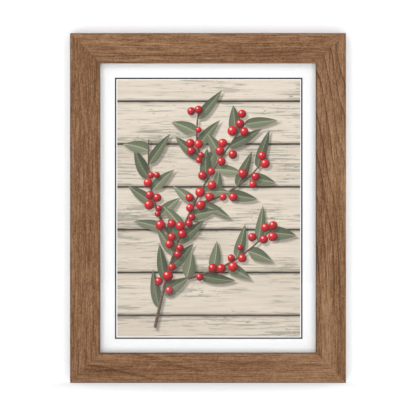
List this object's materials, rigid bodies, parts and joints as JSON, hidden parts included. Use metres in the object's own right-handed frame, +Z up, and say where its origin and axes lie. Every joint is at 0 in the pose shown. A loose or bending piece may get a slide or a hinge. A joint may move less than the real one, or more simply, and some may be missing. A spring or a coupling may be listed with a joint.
{
  "type": "picture frame",
  "caption": "Upright wooden picture frame of flat mitred moulding with glass, printed insert and a hardboard back held by turn buttons, with toothed hangers and a folding easel leg.",
  "frame": {"origin": "middle of the underside of the bottom rail, halfway through the moulding's depth", "axes": "+Z up, +X to the right seen from the front, +Y from the front to the back, so the picture faces -Y"},
  "size_m": [0.276, 0.0202, 0.35],
  "materials": {
    "moulding_wood": "satin walnut-brown grain",
    "clear_glass": "clear float glass",
    "printed_paper": "matt printed paper",
    "hardboard": "pressed brown fibre",
    "zinc_steel": "bright zinc plating"
  },
  "bodies": {
    "frame": {"bottom_rail": "moulding_wood", "left_stile": "moulding_wood", "top_rail": "moulding_wood", "right_stile": "moulding_wood", "v_nail_bottom_left_1": "zinc_steel", "v_nail_bottom_left_2": "zinc_steel", "v_nail_top_left_1": "zinc_steel", "v_nail_top_left_2": "zinc_steel", "v_nail_top_right_1": "zinc_steel", "v_nail_top_right_2": "zinc_steel", "v_nail_bottom_right_1": "zinc_steel", "v_nail_bottom_right_2": "zinc_steel", "glass_pane": "clear_glass", "insert_print": "printed_paper", "back_board": "hardboard", "button_screw_bottom_1": "zinc_steel", "button_screw_bottom_2": "zinc_steel", "button_screw_left_1": "zinc_steel", "button_screw_left_2": "zinc_steel", "button_screw_top_1": "zinc_steel", "button_screw_top_2": "zinc_steel", "button_screw_right_1": "zinc_steel", "button_screw_right_2": "zinc_steel", "sawtooth_hanger_top": "zinc_steel", "sawtooth_hanger_left": "zinc_steel", "hanger_nail_top_1": "zinc_steel", "hanger_nail_top_2": "zinc_steel", "hanger_nail_left_1": "zinc_steel", "hanger_nail_left_2": "zinc_steel", "board_hinge_leaf": "zinc_steel", "hinge_pin": "zinc_steel", "board_rivet_left": "zinc_steel", "board_rivet_right": "zinc_steel"},
    "leg": {"easel_leg": "hardboard", "leg_hinge_leaf": "zinc_steel", "leg_rivet_left": "zinc_steel", "leg_rivet_right": "zinc_steel"},
    "button_bottom_1": {"turn_button_bottom_1": "zinc_steel"},
    "button_bottom_2": {"turn_button_bottom_2": "zinc_steel"},
    "button_left_1": {"turn_button_left_1": "zinc_steel"},
    "button_left_2": {"turn_button_left_2": "zinc_steel"},
    "button_top_1": {"turn_button_top_1": "zinc_steel"},
    "button_top_2": {"turn_button_top_2": "zinc_steel"},
    "button_right_1": {"turn_button_right_1": "zinc_steel"},
    "button_right_2": {"turn_button_right_2": "zinc_steel"}
  },
  "joints": [
    {"name": "leg_fold", "type": "hinge", "parent": "frame", "child": "leg", "pos_m": [0, 0.0094, 0.215], "axis": [1, 0, 0], "range_deg": [0, 25]},
    {"name": "button_bottom_1_turn", "type": "hinge", "parent": "frame", "child": "button_bottom_1", "pos_m": [-0.073, 0.0083, 0.016], "axis": [0, 1, 0], "continuous": true},
    {"name": "button_bottom_2_turn", "type": "hinge", "parent": "frame", "child": "button_bottom_2", "pos_m": [0.073, 0.0083, 0.016], "axis": [0, 1, 0], "continuous": true},
    {"name": "button_left_1_turn", "type": "hinge", "parent": "frame", "child": "button_left_1", "pos_m": [-0.122, 0.0083, 0.285], "axis": [0, 1, 0], "continuous": true},
    {"name": "button_left_2_turn", "type": "hinge", "parent": "frame", "child": "button_left_2", "pos_m": [-0.122, 0.0083, 0.065], "axis": [0, 1, 0], "continuous": true},
    {"name": "button_top_1_turn", "type": "hinge", "parent": "frame", "child": "button_top_1", "pos_m": [0.073, 0.0083, 0.334], "axis": [0, 1, 0], "continuous": true},
    {"name": "button_top_2_turn", "type": "hinge", "parent": "frame", "child": "button_top_2", "pos_m": [-0.073, 0.0083, 0.334], "axis": [0, 1, 0], "continuous": true},
    {"name": "button_right_1_turn", "type": "hinge", "parent": "frame", "child": "button_right_1", "pos_m": [0.122, 0.0083, 0.065], "axis": [0, 1, 0], "continuous": true},
    {"name": "button_right_2_turn", "type": "hinge", "parent": "frame", "child": "button_right_2", "pos_m": [0.122, 0.0083, 0.285], "axis": [0, 1, 0], "continuous": true}
  ]
}
